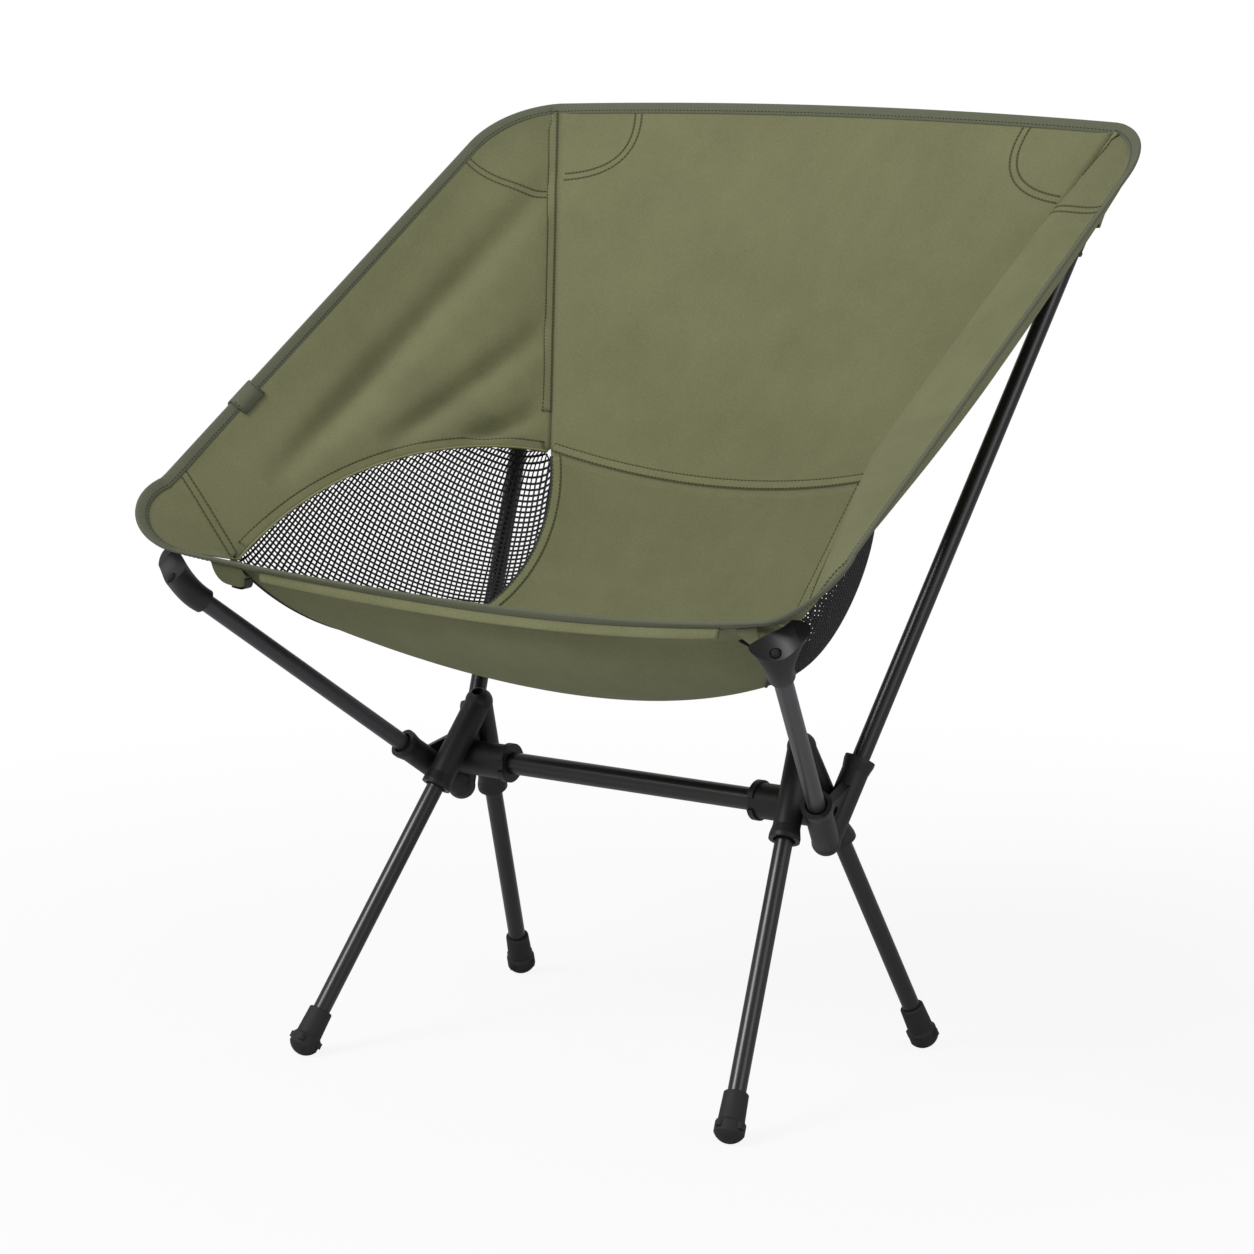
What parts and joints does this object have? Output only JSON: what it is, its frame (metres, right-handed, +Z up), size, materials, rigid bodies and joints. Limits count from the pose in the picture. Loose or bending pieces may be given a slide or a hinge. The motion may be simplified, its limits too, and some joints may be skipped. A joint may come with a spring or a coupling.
{
  "type": "folding camp chair",
  "caption": "Low folding camp chair: cloth bucket sling with mesh side windows on a pole frame of plug-in legs and moulded hubs.",
  "frame": {"origin": "on the floor under the middle of the whole chair", "axes": "+X to the viewer's right when facing the chair's front, +Y towards the back, +Z up"},
  "size_m": [0.5892, 0.5066, 0.6761],
  "materials": {
    "hub_plastic": "matte moulded nylon",
    "cap_plastic": "matte moulded nylon",
    "tube_black": "satin black anodised",
    "foot_rubber": "matte",
    "cloth_olive": "plain weave, matte",
    "binding_green": "woven tape, matte",
    "net_black": "knitted mesh",
    "tape_black": "woven tape",
    "cord_black": "braided sleeve"
  },
  "bodies": {
    "frame": {"right_hub": "hub_plastic", "left_hub": "hub_plastic", "crossbar": "tube_black", "crossbar_cord": "cord_black", "right_seat_pole": "tube_black", "right_seat_pole_plug": "cap_plastic", "right_back_pole": "tube_black", "right_back_pole_plug": "cap_plastic", "right_pole_cord": "cord_black", "right_back_sleeve": "cap_plastic", "right_front_cap": "cap_plastic", "right_wing": "cloth_olive", "right_window_net": "net_black", "right_seam_tape": "binding_green", "right_rear_pocket": "cloth_olive", "right_front_pocket": "cloth_olive", "right_pocket_tape": "tape_black", "left_seat_pole": "tube_black", "left_seat_pole_plug": "cap_plastic", "left_back_pole": "tube_black", "left_back_pole_plug": "cap_plastic", "left_pole_cord": "cord_black", "left_back_sleeve": "cap_plastic", "left_front_cap": "cap_plastic", "left_wing": "cloth_olive", "left_window_net": "net_black", "left_seam_tape": "binding_green", "left_rear_pocket": "cloth_olive", "left_front_pocket": "cloth_olive", "left_pocket_tape": "tape_black", "back_panel": "cloth_olive", "seat_panel": "cloth_olive", "front_hem": "cloth_olive", "edge_binding": "binding_green", "loop_tag": "binding_green"},
    "right_front_leg": {"right_front_leg": "tube_black", "right_front_foot": "foot_rubber", "right_front_leg_plug": "cap_plastic", "right_front_leg_cord": "cord_black"},
    "right_rear_leg": {"right_rear_leg": "tube_black", "right_rear_foot": "foot_rubber", "right_rear_leg_plug": "cap_plastic", "right_rear_leg_cord": "cord_black"},
    "left_front_leg": {"left_front_leg": "tube_black", "left_front_foot": "foot_rubber", "left_front_leg_plug": "cap_plastic", "left_front_leg_cord": "cord_black"},
    "left_rear_leg": {"left_rear_leg": "tube_black", "left_rear_foot": "foot_rubber", "left_rear_leg_plug": "cap_plastic", "left_rear_leg_cord": "cord_black"}
  },
  "joints": [
    {"name": "right_front_leg_pull", "type": "slide", "parent": "frame", "child": "right_front_leg", "axis": [0.1498, -0.5629, -0.8128], "range_m": [0, 0.045], "stiffness_N_per_m": 120, "springref_m": -0.1, "deforming": ["right_front_leg_cord"]},
    {"name": "right_rear_leg_pull", "type": "slide", "parent": "frame", "child": "right_rear_leg", "axis": [0.1561, 0.4215, -0.8933], "range_m": [0, 0.045], "stiffness_N_per_m": 120, "springref_m": -0.1, "deforming": ["right_rear_leg_cord"]},
    {"name": "left_front_leg_pull", "type": "slide", "parent": "frame", "child": "left_front_leg", "axis": [-0.1498, -0.5629, -0.8128], "range_m": [0, 0.045], "stiffness_N_per_m": 120, "springref_m": -0.1, "deforming": ["left_front_leg_cord"]},
    {"name": "left_rear_leg_pull", "type": "slide", "parent": "frame", "child": "left_rear_leg", "axis": [-0.1561, 0.4215, -0.8933], "range_m": [0, 0.045], "stiffness_N_per_m": 120, "springref_m": -0.1, "deforming": ["left_rear_leg_cord"]}
  ]
}
